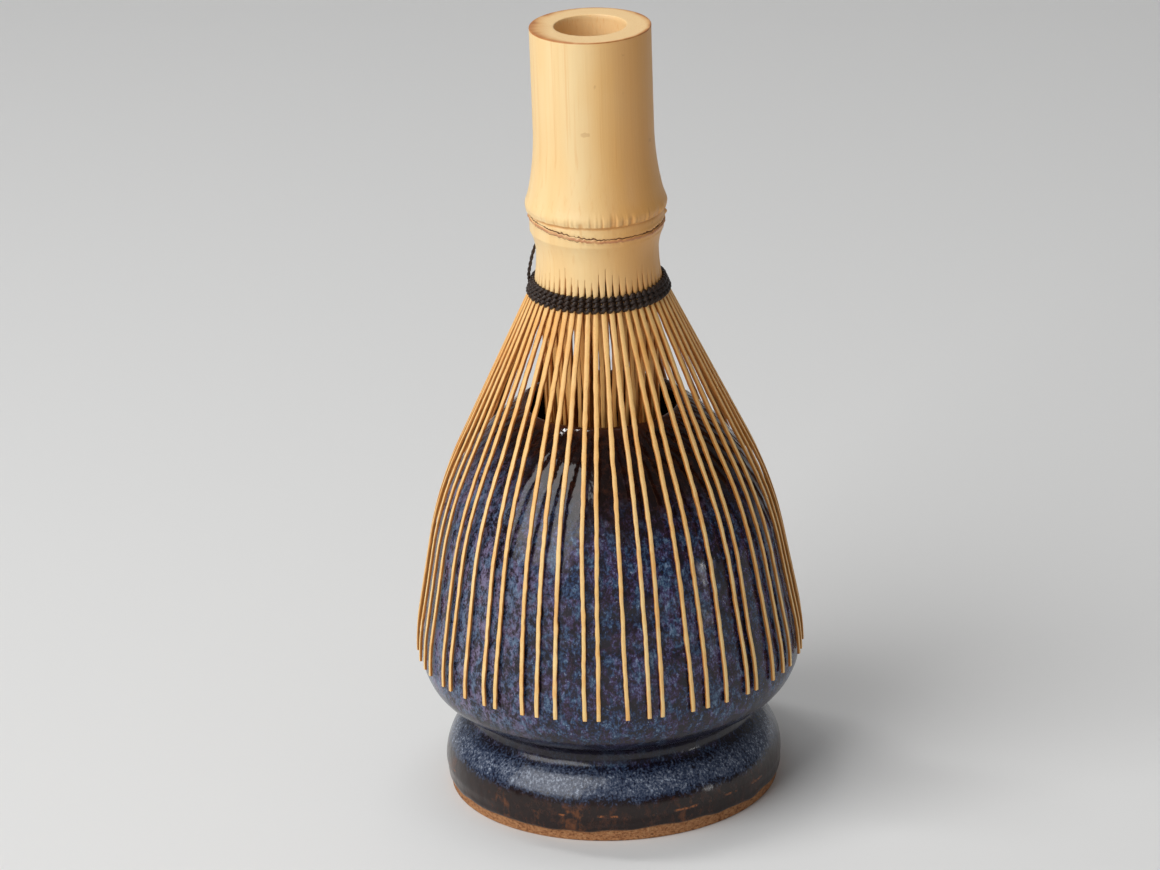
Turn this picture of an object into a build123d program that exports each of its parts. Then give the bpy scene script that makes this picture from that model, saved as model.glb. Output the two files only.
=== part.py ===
from build123d import *
from math import cos, radians, sin, sqrt
import os

# A bamboo tea whisk standing over its stoneware whisk holder. Millimetres, +Z up, the origin at the
# middle of the ring that the holder stands on. The whisk is one culm of bamboo: whole as a handle, and
# split below its binding thread into an outer ring of curved tines and an inner bundle of straight ones.
# The sizes of a bend or a lean say how the outline turns; a lean is in degrees from straight down.

# ---- Outer tines, from their root at the binding down to their tips ----
tine_count = 56
tine_thickness = 0.5
tine_root_width = 1.0
tine_tip_width = 0.75
root_radius = 12.05
root_lean = 9.0
root_bend = 7.0
flare_lean = 25.5
flare_length = 31.6
shoulder_bend = 70.0
side_lean = 10.4
side_length = 13.7
tip_bend = 44.0
tine_stray = 1.0
outer_splits = 14

# ---- Inner tines ----
inner_tine_length = 67.0
inner_tine_thickness = 0.5
inner_root_width = 0.6
inner_tip_width = 0.5
inner_lean = 1.9
inner_bundles = 7

# ---- Binding thread, wound round the root, and its tie loop ----
thread_diameter = 0.8
thread_press = 0.05
binding_rounds = 3
binding_rise = 0.5
weave_rounds = 2
weave_drop = 0.45
loop_thread = 0.6
loop_height = 7.4
loop_width = 3.2
loop_bearing = 158.0

# ---- Handle, from its cut top down to the split ----
culm_radius = 10.65
bore_radius = 6.3
rim_round = 0.5
grip_length = 18.5
swell_bend = 52.7
swell_angle = 14.5
step_drop = 1.5
step_width = 0.6
step_depth = 0.3
scar_drop = 2.0
scar_width = 0.5
scar_depth = 0.45
ridge_radius = 12.3
ridge_drop = 0.7
skirt_length = 10.9
skirt_radius = 12.0
neck_radius = 11.35
neck_height = 5.7
slit_length = 5.2
slit_top_width = 0.08
saw_overrun = 1.0
diaphragm_rise = 3.1
diaphragm_thickness = 4.5
cavity_radius = 9.0

# ---- Holder, from the ring it stands on up to its mouth ----
foot_base_radius = 30.0
foot_ring_width = 4.2
foot_bevel = 0.4
foot_radius = 30.6
foot_widest_height = 4.5
foot_round = 10.0
foot_angle = 48.0
cove_round = 2.2
inner_cove_round = 4.0
belly_height = 26.0
underside_round = 9.5
underside_angle = 62.0
shoulder_radius = 40.3
lip_lean = 54.5
lip_round = 1.1
holder_wall = 3.8

# ---- Clearances, where pieces slide, swing or are wound past each other ----
seat_clearance = 0.3
tine_clearance = 0.25
root_clearance = 0.3
wrap_clearance = 0.1

os.makedirs("parts", exist_ok=True)


def heading(lean):
    """The direction that leans outwards by this many degrees from straight down."""
    return (sin(radians(lean)), -cos(radians(lean)))


def meeting_point(first, first_heading, second, second_heading):
    """Where two lines cross, each given by a point on it and its heading."""
    gap = second - first
    cross = first_heading.X * second_heading.Y - first_heading.Y * second_heading.X
    along = (gap.X * second_heading.Y - gap.Y * second_heading.X) / cross
    return first + first_heading * along


def save(builder, name):
    """Label a finished piece and write it as its own STEP file."""
    builder.part.label = name
    export_step(builder.part, f"parts/{name}.step")


# ---- One outer tine ----
# Its root lies on the XY plane, on the +X side, and its flat face is bent outwards over the thread,
# straight down the flare, round the shoulder of the holder and in again to hang upright at the tip.
with BuildPart() as outer_tine:
    with BuildSketch(Plane.XZ):
        with BuildLine():
            root_curve = JernArc((root_radius, 0), heading(root_lean), root_bend, flare_lean - root_lean)
            flare = PolarLine(root_curve @ 1, flare_length, direction=root_curve % 1)
            shoulder_curve = JernArc(flare @ 1, flare % 1, shoulder_bend, side_lean - flare_lean)
            side = PolarLine(shoulder_curve @ 1, side_length, direction=shoulder_curve % 1)
            tip_curve = JernArc(side @ 1, side % 1, tip_bend, -side_lean)
            offset(amount=tine_thickness, side=Side.RIGHT)
        make_face()
    extrude(amount=tine_root_width / 2, both=True)
    tip = tip_curve @ 1
    with BuildSketch(Plane.YZ):
        with BuildLine():
            Polyline(
                (-tine_root_width / 2, 0),
                (tine_root_width / 2, 0),
                (tine_tip_width / 2, tip.Y),
                (-tine_tip_width / 2, tip.Y),
                close=True,
            )
        make_face()
    extrude(amount=tip.X + tine_thickness, mode=Mode.INTERSECT)

# The tips end level with the holder's widest ring, and that sets how high the whisk stands.
root_height = belly_height - tip.Y
split_height = root_height + root_clearance
ring_radius = tip.X - tine_thickness - seat_clearance
inner_root_radius = root_radius - tine_thickness - thread_diameter - 2 * tine_clearance

# ---- One inner tine, straight and leaning a little inwards ----
with BuildPart() as inner_tine:
    with BuildSketch(Plane.XZ):
        with BuildLine():
            PolarLine((inner_root_radius, 0), inner_tine_length, direction=heading(-inner_lean))
            offset(amount=inner_tine_thickness, side=Side.RIGHT)
        make_face()
    extrude(amount=inner_root_width / 2, both=True)
    inner_drop = inner_tine_length * cos(radians(inner_lean))
    with BuildSketch(Plane.YZ):
        with BuildLine():
            Polyline(
                (-inner_root_width / 2, 0),
                (inner_root_width / 2, 0),
                (inner_tip_width / 2, -inner_drop),
                (-inner_tip_width / 2, -inner_drop),
                close=True,
            )
        make_face()
    extrude(amount=root_radius, mode=Mode.INTERSECT)

# ---- Outer tines, as the primary splits that swing apart ----
tines_per_split = tine_count // outer_splits
for split_number in range(outer_splits):
    with BuildPart() as outer_tines:
        for place in range(tines_per_split):
            tine_number = split_number * tines_per_split + place
            bearing = (tine_number + 0.5) * 360 / tine_count
            stray = tine_stray * sin(2.4 * tine_number)
            with Locations(Location((0, 0, root_height), (0, 0, bearing))):
                with Locations(Location((0, 0, 0), (stray, 0, 0))):
                    add(outer_tine.part)
    save(outer_tines, f"outer_tines_{split_number + 1:02d}")

# ---- Inner tines, each behind the gap between two outer ones ----
tines_per_bundle = tine_count // inner_bundles
for bundle_number in range(inner_bundles):
    with BuildPart() as inner_tines:
        for place in range(tines_per_bundle):
            tine_number = bundle_number * tines_per_bundle + place
            bearing = (tine_number + 1) * 360 / tine_count
            with Locations(Location((0, 0, root_height), (0, 0, bearing))):
                add(inner_tine.part)
    save(inner_tines, f"inner_tines_{bundle_number + 1:02d}")

# ---- Binding thread: rounds laid on the flaring roots, over the end of the split ----
bend_axis = root_curve.arc_center
with BuildPart() as binding_thread:
    with BuildSketch(Plane.XZ):
        for turn in range(binding_rounds):
            rise = binding_rise - turn * (thread_diameter - thread_press)
            if rise >= 0:
                laid_on = skirt_radius + wrap_clearance
            else:
                laid_on = bend_axis.X - sqrt(root_bend**2 - (bend_axis.Y - rise) ** 2) + tine_clearance
            if turn == 0:
                loop_foot = laid_on + thread_diameter / 2
            with Locations((laid_on + thread_diameter / 2, root_height + rise)):
                Circle(thread_diameter / 2)
    revolve(axis=Axis.Z)
    outwards = Vector(cos(radians(loop_bearing)), sin(radians(loop_bearing)), 0)
    loop_plane = Plane(
        origin=outwards * loop_foot + Vector(0, 0, root_height + binding_rise),
        x_dir=outwards.rotate(Axis.Z, 90),
        z_dir=outwards,
    )
    with BuildLine(loop_plane) as loop_path:
        rising = Line((-loop_width / 2, 0), (-loop_width / 2, loop_height - loop_width / 2))
        crown = JernArc(rising @ 1, rising % 1, loop_width / 2, -180)
        Line(crown @ 1, crown @ 1 - Vector(0, 0, loop_height - loop_width / 2))
    with BuildSketch(Plane(origin=rising @ 0, z_dir=rising % 0)):
        Circle(loop_thread / 2)
    sweep()
save(binding_thread, "binding_thread")

# ---- Weave thread: the same thread where it passes between the outer and the inner tines ----
with BuildPart() as weave_thread:
    with BuildSketch(Plane.XZ):
        for turn in range(weave_rounds):
            drop = weave_drop + turn * (thread_diameter - thread_press)
            with Locations((inner_root_radius + tine_clearance + thread_diameter / 2, root_height - drop)):
                Circle(thread_diameter / 2)
    revolve(axis=Axis.Z)
save(weave_thread, "weave_thread")

# ---- Handle: the whole part of the culm, with its node, its split skirt and its two hollows ----
ridge_height = split_height + skirt_length
scar_height = ridge_height + ridge_drop
step_height = scar_height + scar_drop
swell_height = step_height + step_drop
diaphragm_top = scar_height + diaphragm_rise
swell_rise = swell_bend * sin(radians(swell_angle))
culm_top = swell_height + swell_rise + grip_length
skirt_inner_radius = inner_root_radius - inner_tine_thickness
slit_width = 2 * root_radius * sin(radians(180 / tine_count)) - tine_root_width
with BuildPart() as slit:
    with BuildSketch(Plane.YZ.offset(skirt_inner_radius - saw_overrun)):
        with BuildLine():
            Polyline(
                (-slit_width / 2, split_height - saw_overrun),
                (slit_width / 2, split_height - saw_overrun),
                (slit_top_width / 2, split_height + slit_length),
                (-slit_top_width / 2, split_height + slit_length),
                close=True,
            )
        make_face()
    extrude(amount=skirt_radius - skirt_inner_radius + 2 * saw_overrun)

with BuildPart() as handle:
    with BuildSketch(Plane.XZ):
        with BuildLine():
            swell = JernArc((culm_radius, culm_top - grip_length), (0, -1), swell_bend, swell_angle)
            node_edge = swell @ 1
            Polyline(
                node_edge,
                (node_edge.X, step_height + step_width / 2),
                (ridge_radius - step_depth, step_height),
                (ridge_radius, step_height - step_width / 2),
                (ridge_radius, scar_height + scar_width / 2),
                (ridge_radius - scar_depth, scar_height),
                (ridge_radius, scar_height - scar_width / 2),
                (ridge_radius, ridge_height),
            )
            ThreePointArc(
                (ridge_radius, ridge_height),
                (neck_radius, split_height + neck_height),
                (skirt_radius, split_height),
            )
            Polyline(
                (skirt_radius, split_height),
                (skirt_inner_radius, split_height),
                (cavity_radius, diaphragm_top - diaphragm_thickness),
                (0, diaphragm_top - diaphragm_thickness),
                (0, diaphragm_top),
                (bore_radius, diaphragm_top),
                (bore_radius, culm_top),
                (culm_radius, culm_top),
                (culm_radius, culm_top - grip_length),
            )
        make_face()
    revolve(axis=Axis.Z)
    fillet(handle.edges().filter_by(GeomType.CIRCLE).group_by(Axis.Z)[-1], radius=rim_round)
    with PolarLocations(0, tine_count):
        add(slit.part, mode=Mode.SUBTRACT)
save(handle, "handle")

# ---- Holder: a hollow thrown form on a flared foot, its side shaped to the inside of the tines ----
with BuildPart() as holder:
    with BuildSketch(Plane.XZ):
        with BuildLine():
            belly = Vector(ring_radius, belly_height)
            foot_wall = Polyline(
                (foot_base_radius - foot_bevel, 0),
                (foot_base_radius, foot_bevel),
                (foot_radius, foot_widest_height),
            )
            foot_curve = JernArc(foot_wall @ 1, (0, 1), foot_round, foot_angle)
            underside = JernArc(belly, (0, -1), underside_round, -underside_angle)
            cove_corner = meeting_point(foot_curve @ 1, foot_curve % 1, underside @ 1, underside % 1)
            cove = FilletPolyline(foot_curve @ 1, cove_corner, underside @ 1, radius=cove_round)
            cove_axis = cove.edges().filter_by(GeomType.CIRCLE)[0].arc_center

            seat_curve = JernArc(belly, (0, 1), tip_bend - tine_thickness - seat_clearance, side_lean)
            seat_side = PolarLine(seat_curve @ 1, side_length, direction=seat_curve % 1)
            shoulder = JernArc(seat_side @ 1, seat_side % 1, shoulder_radius, lip_lean - side_lean)
            lip = JernArc(shoulder @ 1, shoulder % 1, lip_round, 180 - lip_lean)

            inner_shoulder_radius = shoulder_radius - holder_wall
            mouth = lip @ 1
            mouth_reach = mouth.X - shoulder.arc_center.X
            mouth_foot = shoulder.arc_center.Y + sqrt(inner_shoulder_radius**2 - mouth_reach**2)
            Line(mouth, (mouth.X, mouth_foot))
            inner_side_top = shoulder.arc_center + Vector(heading(90 + side_lean)) * inner_shoulder_radius
            RadiusArc((mouth.X, mouth_foot), inner_side_top, inner_shoulder_radius)
            inner_side = PolarLine(inner_side_top, side_length, direction=Vector(heading(side_lean)))
            inner_seat = JernArc(
                inner_side @ 1,
                inner_side % 1,
                tip_bend - tine_thickness - seat_clearance - holder_wall,
                -side_lean,
            )
            inner_underside = JernArc(
                inner_seat @ 1,
                inner_seat % 1,
                underside_round - holder_wall,
                -underside_angle,
            )
            FilletPolyline(
                inner_underside @ 1,
                (cove_axis.X - cove_round - holder_wall, cove_axis.Y),
                (foot_base_radius - foot_ring_width, foot_bevel),
                radius=inner_cove_round,
            )
            Polyline(
                (foot_base_radius - foot_ring_width, foot_bevel),
                (foot_base_radius - foot_ring_width + foot_bevel, 0),
                (foot_base_radius - foot_bevel, 0),
            )
        make_face()
    revolve(axis=Axis.Z)
save(holder, "holder")
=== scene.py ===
import math

import bpy
from mathutils import Matrix, Vector, noise


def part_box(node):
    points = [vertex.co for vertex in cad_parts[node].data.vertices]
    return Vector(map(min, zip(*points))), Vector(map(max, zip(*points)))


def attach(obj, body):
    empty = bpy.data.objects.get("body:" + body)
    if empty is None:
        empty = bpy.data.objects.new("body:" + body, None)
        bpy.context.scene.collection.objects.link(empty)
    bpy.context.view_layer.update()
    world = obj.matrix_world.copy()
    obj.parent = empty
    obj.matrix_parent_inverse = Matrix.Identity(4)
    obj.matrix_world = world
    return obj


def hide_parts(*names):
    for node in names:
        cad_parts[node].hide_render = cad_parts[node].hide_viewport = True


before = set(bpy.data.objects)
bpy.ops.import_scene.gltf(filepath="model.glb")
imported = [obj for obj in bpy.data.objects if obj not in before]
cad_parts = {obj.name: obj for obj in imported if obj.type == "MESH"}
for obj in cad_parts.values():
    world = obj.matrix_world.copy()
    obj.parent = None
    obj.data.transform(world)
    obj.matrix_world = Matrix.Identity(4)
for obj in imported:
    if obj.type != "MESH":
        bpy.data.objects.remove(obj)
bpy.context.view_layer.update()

# ---- Whisk holder ----
# A hollow form thrown on the wheel from stoneware, with a shoulder that spreads the tines. A blue glaze
# over a dark iron one stops a little above the ground, and the clay below it is bare, rough and toasted.
# It is turned as one closed wall. Sizes are in mm, here and in every section of the whisk.
MM = 0.001
INNER, OUTER = -1, 1
belly_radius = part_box("holder")[1].x / MM
belly_height = 26.0
holder_wall = 3.8
seat_bend = 43.2
side_lean = 10.4
side_length = 13.7
shoulder_bend = 40.3
lip_lean = 54.5
lip_bend = 1.1
mouth_depth = 2.8
underside_bend = 9.5
underside_turn = 62.0
underside_run = 2.76
cove_bend = 2.2
cove_turn = 110.0
foot_run = 1.2
foot_bend = 10.0
foot_turn = 48.0
foot_taper = 0.6
foot_bevel = 0.4
foot_ring_width = 4.2
well_run = 4.2
well_bend = 3.5
well_turn = 75.0
well_shoulder_turn = 37.5
holder_columns = 420
throwing_swell = 0.05
throwing_rings = 0.03
glaze_edge = 1.9
glaze_edge_wander = 0.55
glaze_edge_ripple = 0.35
glaze_thickness = 0.3
glaze_roll = 0.12
glaze_flow = 0.035
clay_grit = 0.07
clay_lumps = 0.05


def outline(start, facing, moves, grain=0.45, most_turn=9):
    """Points in mm along straight runs, given as (length,), and round bends, given as (radius, turn)."""
    x, y = start
    points = [(x, y)]
    for move in moves:
        turn = move[1] if len(move) == 2 else 0.0
        length = move[0] * math.radians(abs(turn)) if turn else move[0]
        steps = max(2, math.ceil(length / grain), math.ceil(abs(turn) / most_turn))
        half = math.radians(turn / steps / 2)
        reach = 2 * move[0] * math.sin(abs(half)) if turn else length / steps
        for _ in range(steps):
            facing += half
            x += reach * math.cos(facing)
            y += reach * math.sin(facing)
            facing += half
            points.append((x, y))
    return points


def ease(value, low, high):
    """0 at low, 1 at high, and a smooth rise between. low may lie above high."""
    t = min(1.0, max(0.0, (value - low) / (high - low)))
    return t * t * (3 - 2 * t)


def ripple(bearing, height, rings, climb, seed=0.0):
    """Smooth noise between -1 and 1 that closes round the axis, with about this many waves in a turn."""
    reach = rings / math.tau
    place = (reach * math.cos(bearing), reach * math.sin(bearing), height * climb + seed)
    return 1.5 * noise.noise(Vector(place))


def shaped(name, points, faces, marks, crease=None):
    """A smooth piece from points in mm, with one number stored at each point for each mark."""
    mesh = bpy.data.meshes.new(name)
    mesh.from_pydata([(x * MM, y * MM, z * MM) for x, y, z in points], [], faces)
    for mark, values in marks.items():
        mesh.attributes.new(mark, "FLOAT", "POINT").data.foreach_set("value", values)
    mesh.shade_smooth()
    if crease:
        mesh.set_sharp_from_angle(angle=math.radians(crease))
    piece = bpy.data.objects.new(name, mesh)
    bpy.context.collection.objects.link(piece)
    return piece


def turned(name, rows, columns, shape, marks):
    """A piece turned on the Z axis from its rows of radius, height and side of the wall. shape gives each
    point's own radius and height and its marks. A row on the axis is one point, and the ends are joined."""
    points, faces, kept, rings = [], [], {mark: [] for mark in marks}, []
    for radius, height, side in rows:
        count = columns if radius > 0 else 1
        ring = [len(points) + place for place in range(count)]
        rings.append(ring if count > 1 else ring * columns)
        for column in range(count):
            bearing = math.tau * column / columns
            r, z, *values = shape(bearing, radius, height, side)
            points.append((r * math.cos(bearing), r * math.sin(bearing), z))
            for mark, value in zip(marks, values):
                kept[mark].append(value)
    for ring, above in zip(rings, rings[1:] + rings[:1]):
        for column in range(columns):
            after = (column + 1) % columns
            corners = dict.fromkeys((ring[column], ring[after], above[after], above[column]))
            if len(corners) > 2:
                faces.append(tuple(corners))
    return shaped(name, points, faces, kept)


def on(side, rows):
    """The same rows of radius and height, each with its side of the wall."""
    return [(radius, height, side) for radius, height in rows]


def glazed(bearing, radius, height, side):
    """The point of the thrown wall, whose glaze ends in a thick wandering edge above bare clay."""
    edge = glaze_edge + glaze_edge_wander * ripple(bearing, 0, 9, 0, 3)
    edge += glaze_edge_ripple * ripple(bearing, 0, 40, 0, 5)
    bare = 1 - ease(height, edge - 0.25, edge + 0.25)
    if side == INNER and height < belly_height:
        bare = 1.0
    roll = glaze_roll * math.exp(-((height - edge - 0.6) ** 2) / 0.35)
    flow = glaze_flow * ripple(bearing, height, 46, 0.05, 9)
    throwing = throwing_swell * ripple(bearing, height, 3, 0.12)
    throwing += throwing_rings * math.sin(height * 1.15 + bearing)
    grit = clay_grit * ripple(bearing, height, 330, 1.5, 7)
    grit += clay_lumps * ripple(bearing, height, 120, 0.6, 8)
    skin = (1 - bare) * (throwing + flow + roll) + bare * (grit + throwing - glaze_thickness)
    if height <= foot_bevel / 4:
        skin = 0.0
    return radius + skin * side, height, bare


lower = outline(
    (belly_radius, belly_height),
    -math.pi / 2,
    [
        (underside_bend, -underside_turn),
        (underside_run,),
        (cove_bend, cove_turn),
        (foot_run,),
        (foot_bend, -foot_turn),
    ],
)
upper = outline(
    (belly_radius, belly_height),
    math.pi / 2,
    [
        (seat_bend, side_lean),
        (side_length,),
        (shoulder_bend, lip_lean - side_lean),
        (lip_bend, 180 - lip_lean),
        (mouth_depth,),
    ],
)
foot_radius, foot_height = lower[-1]
foot_base = foot_radius - foot_taper
foot_wall = []
for step in range(1, 21):
    down = step / 20
    foot_wall.append((foot_radius - foot_taper * down, foot_height + (foot_bevel - foot_height) * down))
foot_ring = [
    (foot_base - foot_bevel / 2, foot_bevel / 4),
    (foot_base - foot_bevel, 0.0),
    (foot_base - foot_ring_width / 2, 0.0),
    (foot_base - foot_ring_width + foot_bevel, 0.0),
    (foot_base - foot_ring_width, foot_bevel),
]
well_lower = outline(
    (belly_radius - holder_wall, belly_height),
    -math.pi / 2,
    [(underside_bend - holder_wall, -underside_turn), (well_run,), (well_bend, well_turn)],
    grain=1.0,
)
well_upper = outline(
    (belly_radius - holder_wall, belly_height),
    math.pi / 2,
    [
        (seat_bend - holder_wall, side_lean),
        (side_length,),
        (shoulder_bend - holder_wall, well_shoulder_turn),
    ],
    grain=1.5,
)
holder_rows = on(INNER, well_upper[::-1] + well_lower[1:] + foot_ring[::-1])
holder_rows += on(OUTER, foot_wall[::-1] + lower[::-1][:-1] + upper)
holder = turned("glazed_holder", holder_rows, holder_columns, glazed, ["bare_clay"])

# Colours of the glaze where it lies dark, violet, blue and pale, of a painted sheen on it, of the thin iron
# glaze, and of the clay.
GLAZE_NIGHT = (0.006, 0.004, 0.009, 1)
GLAZE_PLUM = (0.024, 0.007, 0.019, 1)
GLAZE_VIOLET = (0.030, 0.020, 0.072, 1)
GLAZE_LILAC = (0.085, 0.080, 0.195, 1)
GLAZE_BLUE = (0.010, 0.020, 0.068, 1)
GLAZE_SLATE = (0.026, 0.056, 0.135, 1)
GLAZE_TEAL = (0.060, 0.120, 0.200, 1)
GLAZE_SKY = (0.180, 0.260, 0.390, 1)
GLAZE_SPECK = (0.360, 0.420, 0.530, 1)
GLAZE_SHEEN_LILAC = (0.215, 0.180, 0.275, 1)
GLAZE_SHEEN_BLUE = (0.130, 0.172, 0.255, 1)
FOOT_DEEP = (0.012, 0.017, 0.042, 1)
FOOT_SLATE = (0.034, 0.053, 0.100, 1)
FOOT_FROST = (0.084, 0.098, 0.142, 1)
IRON = (0.013, 0.005, 0.004, 1)
IRON_THIN = (0.055, 0.018, 0.009, 1)
AMBER = (0.170, 0.054, 0.014, 1)
RING_LINE = (0.340, 0.110, 0.030, 1)
CLAY = (0.420, 0.175, 0.065, 1)
CLAY_DARK = (0.120, 0.045, 0.018, 1)
CLAY_PALE = (0.560, 0.290, 0.130, 1)

# Heights over which one glaze gives way to the next, from the lip down to the foot, and over which painted
# shade darkens the cove.
lip_bares = (71.6, 72.8)
blue_thins = (56.0, 67.5)
cove_shade_deepens = (24.0, 18.0)
cove_shade_ends = (12.6, 14.0)
foot_pools = (16.4, 14.6)
foot_pales = (13.6, 10.8)
foot_pale_ends = (6.8, 9.6)
foot_thins = (12.0, 10.4)
ring_height = 5.65


class Finish:
    """A finish being mixed: a material, its shader, and short ways to add the nodes that feed it. Every
    pattern is laid out in mm over the piece itself."""

    def __init__(self, name):
        self.material = bpy.data.materials.new(name)
        self.material.use_nodes = True
        self.tree = self.material.node_tree
        self.shader = self.tree.nodes["Principled BSDF"]
        place = self.add("TexCoord", "Object", {})
        to_mm = (1 / MM, 1 / MM, 1 / MM)
        self.place = self.add("VectorMath", 0, {0: place, 1: to_mm}, operation="MULTIPLY")
        self.height = self.add("SeparateXYZ", "Z", {0: self.place})
        self.across = self.add("SeparateXYZ", "X", {0: self.place})

    def add(self, kind, outlet, feeds, **settings):
        """Add a node, feed its sockets with numbers, colours or other nodes, and give back its outlet."""
        made = self.tree.nodes.new("ShaderNode" + kind)
        for setting, value in settings.items():
            setattr(made, setting, value)
        for socket, value in feeds.items():
            self.feed(made.inputs[socket], value)
        return made.outputs[outlet]

    def feed(self, socket, value):
        """Link another node's outlet to a socket, or set a plain value on the socket itself."""
        if isinstance(value, bpy.types.NodeSocket):
            self.tree.links.new(value, socket)
        else:
            socket.default_value = value

    def plus(self, first, second):
        return self.add("Math", 0, {0: first, 1: second}, operation="ADD")

    def less(self, first, second):
        return self.add("Math", 0, {0: first, 1: second}, operation="SUBTRACT")

    def times(self, first, second):
        return self.add("Math", 0, {0: first, 1: second}, operation="MULTIPLY")

    def grain(self, scale, detail=3.0, roughness=0.55, stretch=(1, 1, 1), seed=0.0):
        """Noise with this many waves to a mm, drawn out along an axis where its stretch is under 1."""
        place = self.add("VectorMath", 0, {0: self.place, 1: stretch}, operation="MULTIPLY")
        place = self.add("VectorMath", 0, {0: place, 1: (seed, seed, seed)}, operation="ADD")
        feeds = {"Vector": place, "Scale": scale, "Detail": detail, "Roughness": roughness}
        return self.add("TexNoise", 0, feeds)

    def band(self, value, low, high):
        """0 at low, 1 at high, and a smooth rise between. low may lie above high."""
        feeds = {0: value, 1: low, 2: high, 3: 0.0, 4: 1.0}
        return self.add("MapRange", 0, feeds, interpolation_type="SMOOTHSTEP")

    def mark(self, name):
        """The number that the piece's mesh holds under this name."""
        return self.add("Attribute", "Fac", {}, attribute_name=name)

    def mix(self, factor, first, second):
        return self.add("Mix", 2, {0: factor, 6: first, 7: second}, data_type="RGBA")

    def ramp(self, value, stops):
        """Colours that follow a value, from stops given as (value, colour)."""
        made = self.tree.nodes.new("ShaderNodeValToRGB")
        self.feed(made.inputs[0], value)
        steps = made.color_ramp.elements
        while len(steps) < len(stops):
            steps.new(1.0)
        for step, (position, colour) in zip(steps, stops):
            step.position, step.color = position, colour
        return made.outputs[0]

    def relief(self, height, depth, under=None):
        """A bump of this depth in mm, over another one where there is one under it."""
        feeds = {"Height": height, "Distance": depth * MM, "Strength": 1.0}
        if under:
            feeds["Normal"] = under
        return self.add("Bump", 0, feeds)

    def lay(self, piece, **feeds):
        """Set the shader, and put the finish on the piece in place of what it has."""
        for socket, value in feeds.items():
            self.feed(self.shader.inputs[socket.replace("_", " ")], value)
        piece.data.materials.clear()
        piece.data.materials.append(self.material)


# The blue glaze broke as it melted, into fine specks of blue and violet over nearly black. Its patterns
# go from the broad drift over the whole pot, through runs and clouds, to a fine mottle with sparks in it.
glaze = Finish("iron_and_blue_glaze")
drift = glaze.grain(0.055, 2, 0.6, (1, 1, 0.8), 11)
runs = glaze.grain(0.33, 3, 0.6, (1, 1, 0.10), 3)
clouds = glaze.grain(0.16, 3, 0.6, (1, 1, 0.55), 27)
mottle = glaze.grain(0.85, 5, 0.68, (1, 1, 0.68), 5)
speckle = glaze.grain(2.6, 4, 0.65, (1, 1, 0.75), 17)
sparks = glaze.grain(3.6, 2, 0.6, (1, 1, 0.8), 71)
hue = glaze.grain(0.50, 4, 0.65, (1, 1, 0.6), 83)
broken = glaze.plus(mottle, glaze.times(glaze.less(clouds, 0.5), 0.45))
broken = glaze.plus(broken, glaze.times(glaze.less(speckle, 0.5), 0.80))
violet_stops = [
    (0.40, GLAZE_NIGHT),
    (0.47, GLAZE_PLUM),
    (0.54, GLAZE_VIOLET),
    (0.64, GLAZE_LILAC),
    (0.80, GLAZE_SKY),
]
blue_stops = [
    (0.40, GLAZE_NIGHT),
    (0.48, GLAZE_BLUE),
    (0.55, GLAZE_SLATE),
    (0.64, GLAZE_TEAL),
    (0.78, GLAZE_SKY),
]
violet = glaze.ramp(broken, violet_stops)
colour = glaze.mix(glaze.band(hue, 0.44, 0.56), violet, glaze.ramp(broken, blue_stops))
flecks = glaze.times(glaze.band(sparks, 0.62, 0.72), glaze.band(mottle, 0.44, 0.62))
colour = glaze.mix(glaze.times(flecks, 0.75), colour, GLAZE_SPECK)

# On the lit left side the glaze is painted milky and pale, as a painted sheen where the lamp reflects.
painted_sheen_side = glaze.band(glaze.plus(glaze.across, glaze.times(drift, 22.0)), 6.0, -14.0)
painted_sheen_side = glaze.times(painted_sheen_side, glaze.times(glaze.band(broken, 0.36, 0.62), 0.62))
painted_sheen_tone = glaze.mix(glaze.band(hue, 0.42, 0.58), GLAZE_SHEEN_LILAC, GLAZE_SHEEN_BLUE)
colour = glaze.mix(glaze.plus(painted_sheen_side, 0.03), colour, painted_sheen_tone)

# High on the shoulder the blue thins out to plain iron glaze, in a line that the runs draw out.
wander = glaze.plus(glaze.times(runs, 14.0), glaze.times(drift, 16.0))
shoulder_level = glaze.plus(glaze.height, glaze.less(wander, 15.0))
shoulder_level = glaze.plus(shoulder_level, glaze.times(glaze.across, 0.22))
iron = glaze.mix(glaze.band(mottle, 0.45, 0.75), IRON, IRON_THIN)
iron = glaze.mix(glaze.band(glaze.height, *lip_bares), iron, IRON_THIN)
thinned = glaze.band(shoulder_level, *blue_thins)
colour = glaze.mix(thinned, colour, iron)

# The cove is painted dark, as painted shade under the belly. On the foot the glaze pooled pale and
# speckled.
painted_cove_shade = glaze.times(glaze.band(glaze.height, *cove_shade_ends), glaze.band(glaze.height, *cove_shade_deepens))
colour = glaze.mix(glaze.times(painted_cove_shade, 0.88), colour, GLAZE_NIGHT)
frost_tone = glaze.plus(glaze.times(speckle, 0.6), glaze.times(broken, 0.4))
frost_ridge = glaze.times(glaze.band(glaze.height, *foot_pale_ends), glaze.band(glaze.height, *foot_pales))
frost_tone = glaze.plus(frost_tone, glaze.less(glaze.times(frost_ridge, 0.19), 0.13))
frost_stops = [
    (0.38, GLAZE_NIGHT),
    (0.44, FOOT_DEEP),
    (0.51, FOOT_SLATE),
    (0.61, FOOT_FROST),
    (0.76, GLAZE_SPECK),
]
foot_level = glaze.plus(glaze.height, glaze.times(wander, 0.16))
colour = glaze.mix(glaze.band(foot_level, *foot_pools), colour, glaze.ramp(frost_tone, frost_stops))

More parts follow.
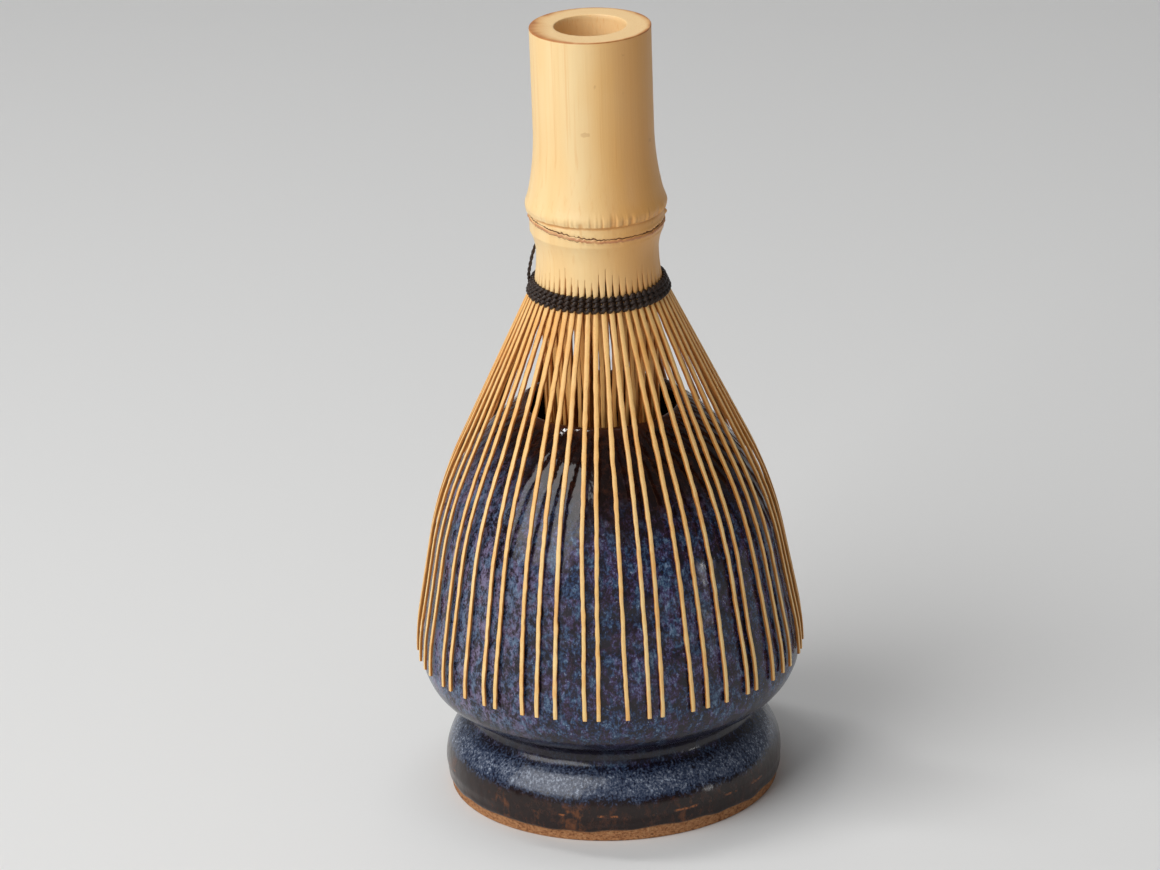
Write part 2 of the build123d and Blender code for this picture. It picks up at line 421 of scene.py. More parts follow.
# Below that it ran thin again over brown, with amber runs and a broken orange line round the foot.
amber_runs = glaze.times(glaze.band(runs, 0.52, 0.70), glaze.band(mottle, 0.42, 0.62))
brown = glaze.mix(glaze.times(amber_runs, 0.8), iron, AMBER)
line_level = glaze.plus(glaze.height, glaze.times(clouds, 1.2))
ring_line = glaze.times(
    glaze.band(line_level, ring_height - 0.30, ring_height - 0.05),
    glaze.band(line_level, ring_height + 0.30, ring_height + 0.05),
)
ring_line = glaze.times(ring_line, glaze.band(glaze.grain(0.16, 3, 0.6, (1, 1, 0.2), 61), 0.52, 0.60))
brown = glaze.mix(glaze.times(ring_line, glaze.band(speckle, 0.36, 0.56)), brown, RING_LINE)
brown_level = glaze.plus(foot_level, glaze.times(broken, 2.2))
colour = glaze.mix(glaze.band(brown_level, *foot_thins), colour, brown)

# The bare clay, and how the whole surface shines and feels.
bare = glaze.mark("bare_clay")
grog = glaze.grain(1.7, 5, 0.7, (1, 1, 1.4), 23)
colour = glaze.mix(bare, colour, glaze.ramp(grog, [(0.34, CLAY_DARK), (0.46, CLAY), (0.62, CLAY_PALE)]))
satin = glaze.plus(glaze.times(glaze.band(mottle, 0.3, 0.8), 0.13), 0.07)
satin = glaze.times(glaze.less(1.0, thinned), satin)
roughness = glaze.plus(glaze.plus(satin, 0.09), glaze.times(bare, 0.60))
peel = glaze.relief(glaze.grain(0.5, 2, 0.5, (1, 1, 0.6), 31), 0.10)
rough_clay = glaze.relief(glaze.times(grog, bare), 0.35, peel)
glaze.lay(holder, Base_Color=colour, Roughness=roughness, Normal=rough_clay)
glaze.shader.inputs["IOR"].default_value = 1.45
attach(holder, "holder")
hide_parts("holder")

# ---- Handle ----
# One length of bleached bamboo, cut square above a node and bored out. Below the node its wall is split
# by a knife into tapering teeth, which carry on down as the tines. It is turned as one closed mesh, with
# the lip, the torn scar and the cuts worked into it.
tine_count = 56
split_height = 95.657
culm_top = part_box("handle")[1].z / MM
culm_radius = 10.65
bore_radius = 6.3
bore_floor = 110.36
swell_top = 123.95
swell_bend = 52.7
swell_turn = 14.5
node_radius = 12.3
step_height = 109.257
scar_height = 107.257
neck_top = 105.6
neck_height = 101.4
neck_radius = 11.2
skirt_radius = 11.75
cavity_radius = 9.0
diaphragm_base = 105.86
flute_depth = 0.05
rib_height = 0.20
step_depth = 0.36
scar_depth = 0.18
ridge_height = 0.20
crack_depth = 0.12
splinter_height = 0.50
split_tops = 4.6
split_depth = 0.95
split_width = 0.27
tooth_wear = 0.34
culm_columns = tine_count * 16
BAMBOO = (0.900, 0.545, 0.195, 1)
BAMBOO_PALE = (0.940, 0.690, 0.350, 1)
BAMBOO_WARM = (0.800, 0.380, 0.098, 1)
BAMBOO_PITH = (0.930, 0.640, 0.310, 1)
BAMBOO_BROWNED_AND_SHADE = (0.660, 0.290, 0.070, 1)
BAMBOO_SCORCH_AND_SHADE = (0.450, 0.150, 0.034, 1)
SCAR_BROWN = (0.150, 0.050, 0.016, 1)
SCAR_RED = (0.560, 0.225, 0.095, 1)
CLEFT_PAINTED_SHADE = (0.045, 0.016, 0.006, 1)


def spread(first, last, count):
    """Evenly spaced numbers from first to last."""
    return [first + (last - first) * n / count for n in range(count + 1)]


def hump(value, middle, width):
    """1 at the middle, and a smooth fall to nothing on either side of it."""
    return math.exp(-(((value - middle) / width) ** 2))


def culm(bearing, radius, height, side):
    """The point of the culm, with its flutes, the step and scar of its node, and its split skirt."""
    outside = side == OUTER and radius > culm_radius - 0.05
    scar, ridge, step, shade_between_ribs, cleft, face, rim = 0.0, 0.0, 0.0, 0.0, 0.0, 0.0, 0.0
    if height > culm_top - 0.2 and radius < culm_radius + 0.05:
        face = ease(height, culm_top - 0.16, culm_top - 0.05)
        browned = 0.4 + 0.4 * max(0.0, math.sin(bearing))
        browned += (2.3 - 1.5 * math.cos(bearing)) * math.cos(bearing) ** 2
        browned *= 0.8 + 0.4 * ease(ripple(bearing, 0, 7, 0, 2), -0.6, 0.4)
        rim = max(0.0, 1 - (culm_radius - radius) / browned) * (0.95 + 0.2 * ripple(bearing, 0, 40, 0, 3))
    if not outside:
        face = 1.0 if height > bore_floor - 0.06 else 0.0
        r = radius + 0.02 * ripple(bearing, height, 12, 0.05)
        return r, height, scar, ridge, step, shade_between_ribs, cleft, face, rim
    flutes = flute_depth * ripple(bearing, height, 5, 0.02, 4)
    flutes += 0.02 * ripple(bearing, height, 34, 0.012, 6)
    r = radius + flutes * ease(culm_top - height, 0.0, 1.5)

    # The upper length ends in a lip of worn ribs that stands out over the node.
    r += 0.16 * hump(height, 110.6, 1.1)
    step_line = step_height + 0.10 * ripple(bearing, 0, 7, 0, 20)
    step_line += 0.10 * abs(ripple(bearing, 0, 70, 0, 22))
    ribs = ripple(bearing, 0, 112, 0, 12) + 0.5 * ripple(bearing, 0, 170, 0, 14)
    rib_top = step_line + 2.3 + 1.2 * ripple(bearing, 0, 40, 0, 13)
    ribbed = ease(math.cos(bearing + 0.9), -0.3, 0.7)
    ribbed *= ease(height, step_line - 0.1, step_line + 0.2) * ease(height, rib_top, step_line + 0.4)
    r += rib_height * ribbed * ribs
    shade_between_ribs = ribbed * max(0.0, -ribs)
    step = hump(height, step_line - 0.1, 0.36) * (0.8 + 0.2 * ripple(bearing, 0, 18, 0, 21))
    r -= 0.14 * step + step_depth * ease(height, step_line + 0.2, step_line - 0.2)

    # The leaf scar is a thin torn crack, low in front and high on one side, above a worn reddish ridge
    # that has a second crack broken along its lower edge.
    tilt = 0.55 + 0.53 * math.sin(bearing) - 0.84 * math.cos(bearing) + 0.3 * math.cos(bearing) ** 2
    torn = scar_height + tilt + 0.12 * ripple(bearing, 0, 16, 0, 30) + 0.16 * ripple(bearing, 0, 130, 0, 31)
    spikes = max(0.0, ripple(bearing, 0, 150, 0, 36)) * ease(ripple(bearing, 0, 9, 0, 37), -0.3, 0.3)
    open_scar = 0.50 + 0.50 * ease(ripple(bearing, 0, 26, 0, 33), -0.5, 0.2)
    scar = open_scar * hump(height, torn, 0.10 + (0.45 * spikes if height > torn else 0.0))
    r -= scar_depth * scar
    r += 0.10 * hump(height, torn + 0.5, 0.35)
    ridge = hump(height, torn - 0.42 + 0.04 * ripple(bearing, 0, 30, 0, 35), 0.30)
    r += ridge_height * ridge + 0.06 * ridge * ripple(bearing, height, 70, 1.5, 38)
    second_crack = hump(height, torn - 0.80 + 0.08 * ripple(bearing, 0, 45, 0, 39), 0.08)
    second_crack *= ease(ripple(bearing, 0, 30, 0, 40), -0.25, 0.1) * ease(-math.cos(bearing), -0.35, 0.35)
    scar += 0.7 * second_crack
    r -= crack_depth * second_crack
    r -= 0.12 * ease(torn - height, 0.8, 1.3) * ease(height, 101.5, 105.5)
    r += splinter_height * hump(math.sin(bearing / 2), 0.0, 0.035) * hump(height, 108.1, 0.45)

    # Each cut narrows upwards to a point, and the teeth between the cuts are worn round.
    pitch = math.tau / tine_count
    number = round(bearing / pitch)
    reach = split_tops * (0.92 + 0.20 * math.sin(number * 5.3) + 0.12 * math.sin(number * 2.1))
    up = (height - split_height) / reach
    if up < 1:
        away = abs(bearing - number * pitch) * radius
        half_width = split_width * (1 - up) ** 2.2 + 0.06
        cleft = min(1.0, max(0.0, 1.7 - 1.7 * away / half_width)) * (0.30 + 0.70 * ease(up, 0.75, 0.35))
        r -= split_depth * cleft
        middle = away / (pitch * radius / 2)
        r -= tooth_wear * (1 - up) ** 1.6 * max(0.0, 1 - middle) ** 2
    return r, height, scar, ridge, step, shade_between_ribs, cleft, face, rim


bore = [(0, bore_floor), (3.0, bore_floor), (bore_radius - 0.4, bore_floor)]
bore += [(bore_radius, bore_floor + 0.44)]
bore += [(bore_radius, z) for z in spread(112.0, 141.6, 20)]
cut_face = [(bore_radius + 0.02, culm_top - 0.12), (bore_radius + 0.08, culm_top - 0.03)]
cut_face += [(bore_radius + 0.16, culm_top)]
cut_face += [(r, culm_top) for r in spread(bore_radius + 0.6, culm_radius - 0.35, 12)]
cut_face += [(culm_radius - 0.15, culm_top), (culm_radius - 0.07, culm_top - 0.02)]
cut_face += [(culm_radius - 0.02, culm_top - 0.07), (culm_radius, culm_top - 0.14)]
grip = [(culm_radius, culm_top - 0.3)]
grip += [(culm_radius, z) for z in spread(culm_top - 1.2, swell_top + 0.45, 24)]
swell = outline((culm_radius, swell_top), -math.pi / 2, [(swell_bend, swell_turn)])
swell_edge = [(12.36, 110.45), (12.37, 110.2), (12.35, 109.95)]
node_rows = [(node_radius, z) for z in spread(109.8, neck_top, 64)]
neck_rows = []
for z in spread(neck_top - 0.4, split_height, 40):
    above = z > neck_height
    waist = (z - neck_height) / (neck_top - neck_height if above else neck_height - split_height)
    wide = node_radius if above else skirt_radius
    neck_rows.append((neck_radius + (wide - neck_radius) * abs(waist) ** 1.9, z))
cavity = [
    (cavity_radius + 0.75, split_height),
    (cavity_radius + 0.4, 100.0),
    (cavity_radius, diaphragm_base - 0.46),
    (cavity_radius - 0.4, diaphragm_base),
    (4.0, diaphragm_base),
    (0, diaphragm_base),
]
handle_rows = on(INNER, bore) + on(OUTER, cut_face + grip + swell + swell_edge + node_rows + neck_rows)
handle_rows += on(INNER, cavity)
culm_marks = ["scar", "ridge", "step", "shade_between_ribs", "cleft", "cut_face", "rim"]
handle = turned("bamboo_handle", handle_rows[::-1], culm_columns, culm, culm_marks)

# The skin dried pale, with soft fibres running up it and warmer streaks. It is painted paler on the lit
# left side and deeper orange on the shaded right side, as painted light and shade.
skin = Finish("bamboo_skin")
fibres = skin.grain(1.5, 4, 0.62, (1, 1, 0.018), 2)
streaks = skin.grain(0.22, 3, 0.55, (1, 1, 0.07), 6)
blush = skin.grain(0.07, 2, 0.5, (1, 1, 0.6), 9)
colour = skin.ramp(streaks, [(0.30, BAMBOO_WARM), (0.46, BAMBOO), (0.62, BAMBOO_PALE)])
colour = skin.mix(0.5, colour, skin.ramp(blush, [(0.40, BAMBOO_PALE), (0.60, BAMBOO)]))
# Painted light and shade: paler towards the left, deeper orange towards the right.
painted_light_side = skin.plus(skin.across, skin.times(streaks, 9.0))
colour = skin.mix(skin.times(skin.band(painted_light_side, 10.0, -2.0), 0.5), colour, BAMBOO_PALE)
colour = skin.mix(skin.times(skin.band(painted_light_side, 2.0, 12.5), 0.8), colour, BAMBOO_WARM)
colour = skin.mix(skin.times(skin.band(fibres, 0.54, 0.74), 0.32), colour, BAMBOO_WARM)
freckle = skin.band(skin.grain(0.42, 2, 0.4, (1, 1, 0.8), 41), 0.735, 0.77)
colour = skin.mix(skin.times(freckle, 0.25), colour, BAMBOO_SCORCH_AND_SHADE)

# The cut face is pinker, with fine pores, and its edge is browned.
pores = skin.grain(3.2, 2, 0.5, (1, 1, 0.2), 13)
pith = skin.mix(skin.times(skin.band(pores, 0.55, 0.72), 0.30), BAMBOO_PITH, BAMBOO_WARM)
colour = skin.mix(skin.mark("cut_face"), colour, pith)
colour = skin.mix(skin.times(skin.band(skin.mark("rim"), 0.0, 0.8), 0.7), colour, BAMBOO_BROWNED_AND_SHADE)
colour = skin.mix(skin.times(skin.band(skin.mark("rim"), 0.5, 0.95), 0.9), colour, BAMBOO_SCORCH_AND_SHADE)

# The ridge is worn and reddish, and the scar is dark. The grooves between the ribs, the step under the lip
# and the deep of each cut are painted darker, as painted shade.
ridge_tone = skin.times(skin.band(skin.mark("ridge"), 0.15, 0.9), skin.band(streaks, 0.30, 0.50))
colour = skin.mix(skin.times(ridge_tone, 0.9), colour, SCAR_RED)
# Painted shade in the grooves between the ribs and under the step.
colour = skin.mix(skin.times(skin.band(skin.mark("shade_between_ribs"), 0.0, 0.7), 0.5), colour, BAMBOO_BROWNED_AND_SHADE)
colour = skin.mix(skin.times(skin.band(skin.mark("step"), 0.1, 0.9), 0.75), colour, BAMBOO_BROWNED_AND_SHADE)
colour = skin.mix(skin.band(skin.mark("scar"), 0.25, 0.6), colour, SCAR_BROWN)
# Painted shade: each cut is darkened from its edges to nearly black in its deep bottom.
colour = skin.mix(skin.band(skin.mark("cleft"), 0.03, 0.45), colour, BAMBOO_SCORCH_AND_SHADE)
colour = skin.mix(skin.band(skin.mark("cleft"), 0.40, 0.85), colour, CLEFT_PAINTED_SHADE)
sheen = skin.plus(skin.times(fibres, 0.18), 0.33)
sheen = skin.plus(sheen, skin.times(skin.mark("scar"), 0.4))
skin.lay(handle, Base_Color=colour, Roughness=sheen, Normal=skin.relief(fibres, 0.05))
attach(handle, "whisk")
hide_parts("handle")

# ---- Outer tines ----
# The primary splits of the culm, shaved thin and bent by steam: out over the thread, down the flare, and
# round the shoulder of the holder to hang beside its belly. They keep the culm's skin on the outside.
root_height = split_height - 0.3
root_radius = 11.72
tine_thickness = 0.5
tine_root_extra = 0.13
tine_root_width = 0.96
tine_tip_width = 0.72
outer_splits = 14
outer_stray = 0.75
outer_wave = 0.25
outer_line = outline(
    (root_radius, root_height + 0.25),
    math.radians(-70),
    [(0.25,), (23.0, 5.5), (31.6,), (70.0, -15.1), (13.7,), (44.0, -10.4)],
    grain=0.55,
)
TINE_PALE = (0.955, 0.680, 0.300, 1)
TINE_MID = (0.925, 0.570, 0.195, 1)
TINE_WARM = (0.850, 0.395, 0.090, 1)
TINE_SIDE = (0.600, 0.225, 0.042, 1)


def shaved_tine(line, width_at, depth_at, wave, seed, points, faces, skin_marks, tone_marks):
    """Add one tine beside a line of radius and height, with the uneven width that a knife leaves."""
    tone = 0.5 + 0.5 * math.sin(seed * 7.7)
    start = len(points)
    count = len(line)
    section = [
        (-0.36, 0.0, 0.0),
        (0.0, 0.03, 0.0),
        (0.36, 0.0, 0.0),
        (0.5, -0.16, 0.7),
        (0.5, -0.84, 1.0),
        (0.38, -1.0, 1.0),
        (-0.38, -1.0, 1.0),
        (-0.5, -0.84, 1.0),
        (-0.5, -0.16, 0.7),
    ]
    corners = len(section)
    for place, (radius, height) in enumerate(line):
        before, after = line[max(0, place - 1)], line[min(count - 1, place + 1)]
        run = math.hypot(after[0] - before[0], after[1] - before[1])
        outwards = ((before[1] - after[1]) / run, (after[0] - before[0]) / run)
        along = place / (count - 1)
        loose = ease(along, 0.04, 0.3)
        sway = wave * loose * noise.noise(Vector((seed * 3.1, height * 0.06, 1.0)))
        sway += 0.07 * loose * noise.noise(Vector((seed * 5.3, height * 0.40, 2.0)))
        sway += 0.05 * loose * noise.noise(Vector((seed * 4.3, height * 0.90, 5.0)))
        width = width_at(along) * (1 + 0.20 * noise.noise(Vector((seed * 1.7, height * 0.50, 3.0))))
        depth = depth_at(along) * (1 + 0.12 * noise.noise(Vector((seed * 2.3, height * 0.5, 4.0))))
        for side, under, cut_side_shade in section:
            out, up = outwards[0] * under * depth, outwards[1] * under * depth
            points.append((radius + out, side * width + sway, height + up))
            skin_marks.append(cut_side_shade)
            tone_marks.append(tone)
        if place:
            ring = start + (place - 1) * corners
            for corner in range(corners):
                here, beside = ring + corner, ring + (corner + 1) % corners
                faces.append((beside, here, here + corners, beside + corners))
    faces.append(tuple(start + corner for corner in range(corners)))
    faces.append(tuple(len(points) - corners + corner for corner in reversed(range(corners))))


def tine_group(name, numbers, line, bearing_of, stray_of, flare_of, width_at, depth_at, wave, seed):
    """Tines that swing together, each turned to its bearing and leaning a little aside or outwards."""
    points, faces, skin_marks, tone_marks = [], [], [], []
    for number in numbers:
        first = len(points)
        shaved_tine(line, width_at, depth_at, wave, seed + number, points, faces, skin_marks, tone_marks)
        lean = Matrix.Rotation(math.radians(stray_of(number)), 4, "X")
        lean = Matrix.Rotation(math.radians(-flare_of(number)), 4, "Y") @ lean
        root = Vector((line[0][0], 0, line[0][1]))
        lean = Matrix.Translation(root) @ lean @ Matrix.Translation(-root)
        place = Matrix.Rotation(bearing_of(number), 4, "Z") @ lean
        for n in range(first, len(points)):
            points[n] = tuple(place @ Vector(points[n]))
    return shaped(name, points, faces, {"under_skin": skin_marks, "tone": tone_marks}, crease=50)


def outer_width(along):
    """The width of an outer tine at a share of its length. It tapers over the upper part."""
    return tine_root_width + (tine_tip_width - tine_root_width) * min(1.0, along / 0.6)


def outer_depth(along):
    """Its thickness, which is greater at the root and shaved away lower down."""
    return tine_thickness + tine_root_extra * (1 - ease(along, 0.2, 0.6))


# Every tine has a tone of its own. It is painted warmer high up among the crowded roots, as painted shade
# and warm bounced light, and it is darker on its cut sides and back, partly from the cut wood and partly as
# painted shade.
split_bamboo = Finish("split_bamboo")
fibres = split_bamboo.grain(4.5, 3, 0.6, (1, 1, 0.03), 3)
lengths = split_bamboo.grain(0.16, 3, 0.6, (1, 1, 1), 8)
tone = split_bamboo.times(split_bamboo.mark("tone"), 0.6)
pale = split_bamboo.mix(tone, TINE_PALE, TINE_MID)
pale = split_bamboo.mix(split_bamboo.times(split_bamboo.band(lengths, 0.45, 0.70), 0.6), pale, TINE_WARM)
# Painted shade and bounced light: warmer towards the roots of the tines.
painted_shade_high = split_bamboo.band(split_bamboo.height, 45.0, 85.0)
pale = split_bamboo.mix(split_bamboo.times(painted_shade_high, 0.4), pale, TINE_WARM)
# Darker sides and back: partly the cut wood, partly painted shade.
colour = split_bamboo.mix(split_bamboo.band(split_bamboo.mark("under_skin"), 0.1, 0.8), pale, TINE_SIDE)
fibre_tone = split_bamboo.times(split_bamboo.band(fibres, 0.52, 0.72), 0.35)
colour = split_bamboo.mix(fibre_tone, colour, TINE_SIDE)

for group in range(outer_splits):
    tines = tine_group(
        f"outer_tines_{group + 1:02d}_split",
        range(group * 4, group * 4 + 4),
        outer_line,
        lambda number: (number + 0.5) * math.tau / tine_count,
        lambda number: outer_stray * math.sin(2.4 * number) + 0.12 * math.sin(5.1 * number + 1),
        lambda number: 0.0,
        outer_width,
        outer_depth,
        outer_wave,
        0,
    )
    split_bamboo.lay(tines, Base_Color=colour, Roughness=0.5, Normal=split_bamboo.relief(fibres, 0.04))
    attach(tines, f"outer_split_{group + 1:02d}")
    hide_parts(f"outer_tines_{group + 1:02d}")

# ---- Inner tines ----
# The wood from under the skin, split off behind the outer tines and left straight. They stand together
# in a loose bundle that leans inwards and goes down through the mouth of the holder.
inner_bundles = 7
inner_root_radius = 10.25
inner_tine_length = 67.0
inner_tine_thickness = 0.5
inner_root_width = 1.0
inner_middle_width = 0.70
inner_tip_width = 0.55
inner_lean = 1.9
inner_stray = 0.55
inner_flare = 1.3
inner_wave = 0.9
inner_line = outline(
    (inner_root_radius, root_height), math.radians(-90 - inner_lean), [(inner_tine_length,)], grain=0.9
)
INNER_PALE = (0.950, 0.540, 0.165, 1)
INNER_WARM = (0.860, 0.400, 0.095, 1)
INNER_SIDE = (0.600, 0.215, 0.040, 1)


def inner_width(along):
    """The width of an inner tine at a share of its length. It tapers fast at first, and then slowly."""
    if along < 0.3:
        return inner_root_width + (inner_middle_width - inner_root_width) * along / 0.3
    return inner_middle_width + (inner_tip_width - inner_middle_width) * (along - 0.3) / 0.7


under_bamboo = Finish("under_skin_bamboo")
fibres = under_bamboo.grain(4.5, 3, 0.6, (1, 1, 0.03), 3)
tone = under_bamboo.times(under_bamboo.mark("tone"), 0.8)
colour = under_bamboo.mix(tone, INNER_PALE, INNER_WARM)
# Its sides and back are darker, partly from the rough cut and partly as painted shade.
colour = under_bamboo.mix(under_bamboo.band(under_bamboo.mark("under_skin"), 0.1, 0.8), colour, INNER_SIDE)
fibre_tone = under_bamboo.times(under_bamboo.band(fibres, 0.52, 0.72), 0.4)
colour = under_bamboo.mix(fibre_tone, colour, INNER_SIDE)

for bundle in range(inner_bundles):
    tines = tine_group(
        f"inner_tines_{bundle + 1:02d}_split",
        range(bundle * 8, bundle * 8 + 8),
        inner_line,
        lambda number: (number + 1) * math.tau / tine_count,
        lambda number: inner_stray * math.sin(1.9 * number) + 0.35 * math.sin(4.3 * number),
        lambda number: 1.0 + inner_flare * math.sin(3.7 * number),
        inner_width,
        lambda along: inner_tine_thickness,
        inner_wave,
        100,
    )
    under_bamboo.lay(tines, Base_Color=colour, Roughness=0.6, Normal=under_bamboo.relief(fibres, 0.04))
    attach(tines, f"inner_bundle_{bundle + 1:02d}")
    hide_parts(f"inner_tines_{bundle + 1:02d}")

# ---- Binding thread and its tie loop ----
# A waxed dark thread of two plies, wound in three rounds over the roots of the tines and pulled in
# between them, with its end left standing as a small loop.
thread_radius = 0.46
ply_radius = 0.37
loop_thread_radius = 0.32
loop_ply_radius = 0.21
binding_rounds = [(11.78, root_height + 0.48), (12.12, root_height - 0.34), (12.44, root_height - 1.16)]
binding_twists = 56
binding_pull = 0.66
binding_slant = 0.26
loop_bearing = math.radians(158)
loop_twists = 9
loop_steps = 14
loop_line = [(3.4, -0.6, 0.0), (3.6, 0.8, 0.0), (3.2, 2.6, -0.20), (2.0, 4.4, -0.30)]
loop_line += [(0.4, 5.5, -0.35), (-0.8, 5.4, -0.35), (-1.6, 4.2, -0.30)]
loop_line += [(-1.8, 2.6, -0.15), (-1.6, 1.0, 0.05), (-1.3, -0.6, 0.0)]
THREAD_DARK = (0.010, 0.004, 0.002, 1)
THREAD_WORN = (0.075, 0.033, 0.013, 1)


def ways_across(line, n, closed):
    """The two directions across a line at one of its points, away from the whisk's axis and upwards."""
    ahead = line[(n + 1) % len(line)] if closed or n + 1 < len(line) else line[n]
    behind = line[n - 1] if closed or n else line[n]
    along = (ahead - behind).normalized()
    up = along.cross(Vector((line[n].x, line[n].y, 0)).normalized()).normalized()
    return up.cross(along), up


def laid_thread(centres, closed, twists, laid_radius, strand_radius, points, faces):
    """Add a thread along a line of centres, as two plies wound round each other."""
    count, sides = len(centres), 8
    for half_turn in (0, math.pi):
        strand = []
        for n, centre in enumerate(centres):
            out, up = ways_across(centres, n, closed)
            turn = math.tau * twists * n / count + half_turn
            aside = out * math.cos(turn) + up * math.sin(turn)
            strand.append(centre + aside * (laid_radius - strand_radius))
        start = len(points)
        for n, centre in enumerate(strand):
            out, up = ways_across(strand, n, closed)
            for side in range(sides):
                turn = math.tau * side / sides
                points.append(tuple(centre + (out * math.cos(turn) + up * math.sin(turn)) * strand_radius))
        for n in range(count if closed else count - 1):
            ring, above = start + n * sides, start + (n + 1) % count * sides
            for side in range(sides):
                after = (side + 1) % sides
                faces.append((ring + after, above + after, above + side, ring + side))
        if not closed:
            faces.append(tuple(start + side for side in reversed(range(sides))))
            faces.append(tuple(start + (count - 1) * sides + side for side in range(sides)))


def wound_round(radius, height, pull, slant, seed, points_in_round=1792):
    """The centres of one round, which slants up over each tine and is pulled in between them."""
    centres = []
    for n in range(points_in_round):
        bearing = math.tau * n / points_in_round
        over = 0.5 - 0.5 * math.cos(bearing * tine_count)
        r = radius - pull + pull * over**0.55 + 0.03 * ripple(bearing, 0, 25, 0, seed)
        z = height - slant * math.sin(bearing * tine_count) + 0.06 * ripple(bearing, 0, 19, 0, seed + 5)
        centres.append(Vector((r * math.cos(bearing), r * math.sin(bearing), z)))
    return centres


def smooth_line(knots, steps):
    """Points on a smooth line through the knots."""
    line = []
    for n in range(len(knots) - 1):
        before, start = knots[max(0, n - 1)], knots[n]
        end, after = knots[n + 1], knots[min(len(knots) - 1, n + 2)]
        for step in range(steps):
            t = step / steps
            curve = start * 2 + (end - before) * t + (before * 2 - start * 5 + end * 4 - after) * t**2
            line.append((curve + (start * 3 - before - end * 3 + after) * t**3) / 2)
    line.append(knots[-1])
    return line


points, faces = [], []
for number, (radius, height) in enumerate(binding_rounds):
    centres = wound_round(radius, height, binding_pull, binding_slant, number * 11)
    laid_thread(centres, True, binding_twists, thread_radius, ply_radius, points, faces)
loop_out = Vector((math.cos(loop_bearing), math.sin(loop_bearing), 0))
loop_side = Vector((-math.sin(loop_bearing), math.cos(loop_bearing), 0))
knots = []
for side, rise, out in loop_line:
    flat = loop_out * (binding_rounds[0][0] + out) + loop_side * side
    knots.append(flat + Vector((0, 0, binding_rounds[0][1] + rise)))
loop_centres = smooth_line(knots, loop_steps)
laid_thread(loop_centres, False, loop_twists, loop_thread_radius, loop_ply_radius, points, faces)
binding = shaped("binding_thread_wound", points, faces, {})

# The wax shines a little on the plies, over a brown that shows where the thread is rubbed.
thread = Finish("waxed_dark_thread")
fluff = thread.grain(5.0, 4, 0.7, (1, 1, 1), 4)
colour = thread.ramp(fluff, [(0.46, THREAD_DARK), (0.72, THREAD_WORN)])
fuzz = thread.relief(fluff, 0.08)
thread.lay(binding, Base_Color=colour, Roughness=0.32, Specular_IOR_Level=0.4, Normal=fuzz)
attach(binding, "whisk")
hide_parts("binding_thread")

# ---- Weave thread ----
# The same thread, drawn thinner, where it passes twice round behind the outer tines and holds the inner
# ones back from them. It takes the finish of the binding.
weave_radius = 10.84
weave_pull = 0.08
weave_slant = 0.05
weave_rounds = [(0.45, 40), (1.2, -41)]
points, faces = [], []
for number, (drop, twists) in enumerate(weave_rounds):
    centres = wound_round(weave_radius, root_height - drop, weave_pull, weave_slant, 50 + number * 7)
    laid_thread(centres, True, twists, loop_thread_radius, loop_ply_radius, points, faces)
weave = shaped("weave_thread_wound", points, faces, {})
thread.lay(weave)
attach(weave, "whisk")
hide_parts("weave_thread")

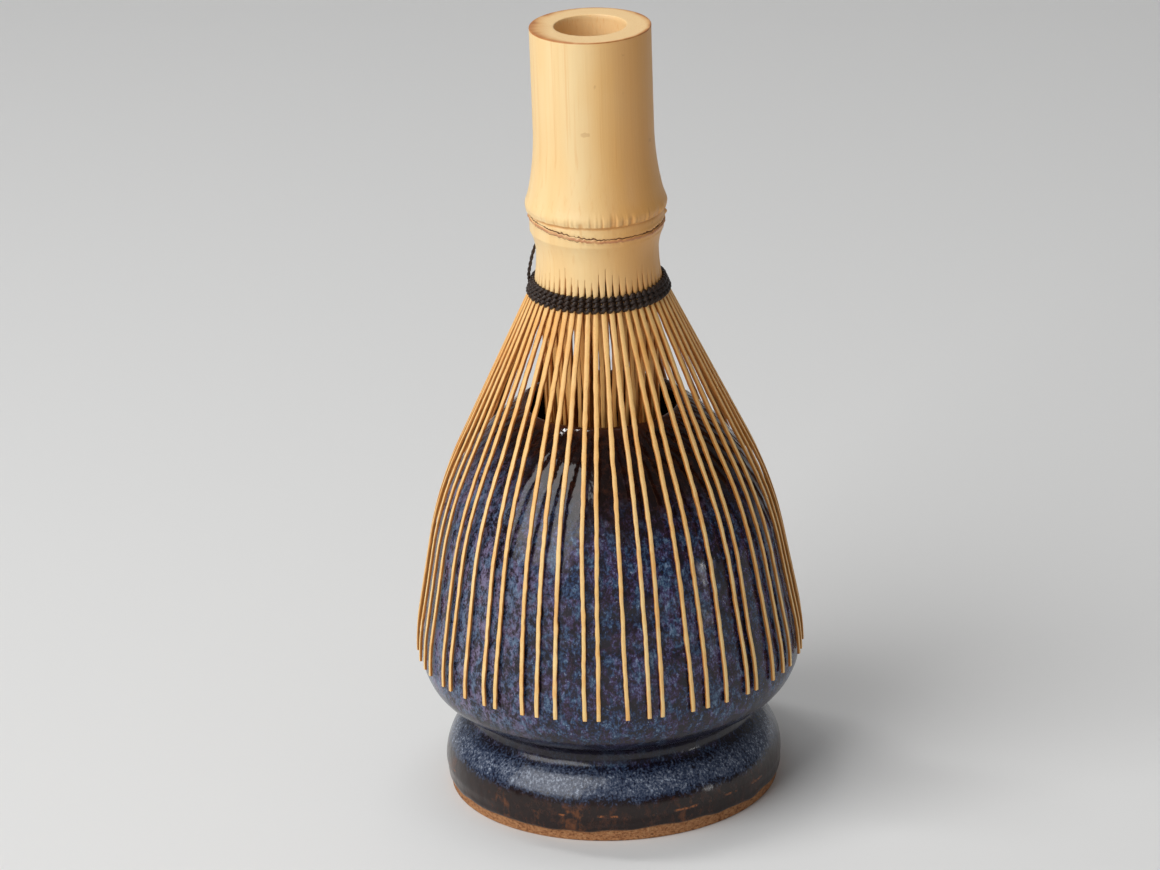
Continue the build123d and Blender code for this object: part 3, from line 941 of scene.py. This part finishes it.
# ---- Floor and backdrop ----
# One plain pale sweep: it lies flat under the holder and curves up a good way behind it. Its sizes are
# in metres.
sweep_front = -1.6
sweep_back = 0.9
sweep_bend = 0.6
sweep_top = 2.6
sweep_half_width = 2.4
sweep_line = [(sweep_front, 0.0), (sweep_back, 0.0)]
for step in range(1, 25):
    turn = math.radians(90 * step / 24)
    sweep_line.append((sweep_back + sweep_bend * math.sin(turn), sweep_bend - sweep_bend * math.cos(turn)))
sweep_line.append((sweep_back + sweep_bend, sweep_top))
sweep_points = [(side * sweep_half_width / MM, y / MM, z / MM) for y, z in sweep_line for side in (-1, 1)]
sweep_faces = [(2 * n, 2 * n + 1, 2 * n + 3, 2 * n + 2) for n in range(len(sweep_line) - 1)]
floor = shaped("floor", sweep_points, sweep_faces, {})
paper = Finish("pale_paper")
paper.lay(floor, Base_Color=(0.80, 0.80, 0.79, 1), Roughness=0.9)

# ---- Studio light ----
# One large soft lamp high on the left gives most of the light. A thin strip and a panel above it, a weak
# fill in front and a small strip low on the right lift the shadows, in an even grey surround.
def soft_lamp(name, place, aim, size, power):
    """A flat lamp in metres and watts, turned towards its aim."""
    lamp = bpy.data.lights.new(name, "AREA")
    lamp.shape = "RECTANGLE"
    lamp.size, lamp.size_y = size
    lamp.energy = power
    stand = bpy.data.objects.new(name, lamp)
    stand.location = place
    stand.rotation_euler = (Vector(aim) - Vector(place)).to_track_quat("-Z", "Y").to_euler()
    bpy.context.collection.objects.link(stand)


soft_lamp("side_lamp", (-0.77, -0.61, 0.82), (0, 0, 0.07), (1.10, 1.10), 13.4)
soft_lamp("top_strip", (-0.28, 0.08, 0.96), (0, 0, 0.08), (0.05, 0.30), 1.5)
soft_lamp("top_panel", (0.00, 0.20, 1.15), (0, 0, 0.08), (0.50, 0.30), 1.8)
soft_lamp("front_fill", (-0.45, -1.25, 0.40), (0, 0, 0.07), (1.60, 1.20), 1.5)
soft_lamp("right_strip", (0.95, -0.47, 0.07), (0, 0, 0.06), (0.04, 0.10), 0.35)
world = bpy.data.worlds.new("surround")
world.use_nodes = True
world.node_tree.nodes["Background"].inputs["Color"].default_value = (0.13, 0.13, 0.135, 1)
bpy.context.scene.world = world

# ---- Camera ----
# It looks down a little on the whisk from the front, from some way off.
camera_down = math.radians(21.56)
camera_roll = math.radians(2.0)
camera_distance = 0.9
aim = Vector((-0.0042, 0, 0.0662))
camera_data = bpy.data.cameras.new("camera")
camera_data.lens = 156.2
camera_data.sensor_width = 36.0
camera = bpy.data.objects.new("camera", camera_data)
camera.location = aim + Vector((0, -math.cos(camera_down), math.sin(camera_down))) * camera_distance
facing = (aim - camera.location).to_track_quat("-Z", "Y").to_matrix()
camera.rotation_euler = (facing @ Matrix.Rotation(-camera_roll, 3, "Z")).to_euler()
bpy.context.collection.objects.link(camera)
bpy.context.scene.camera = camera
bpy.context.scene.view_settings.view_transform = "Standard"
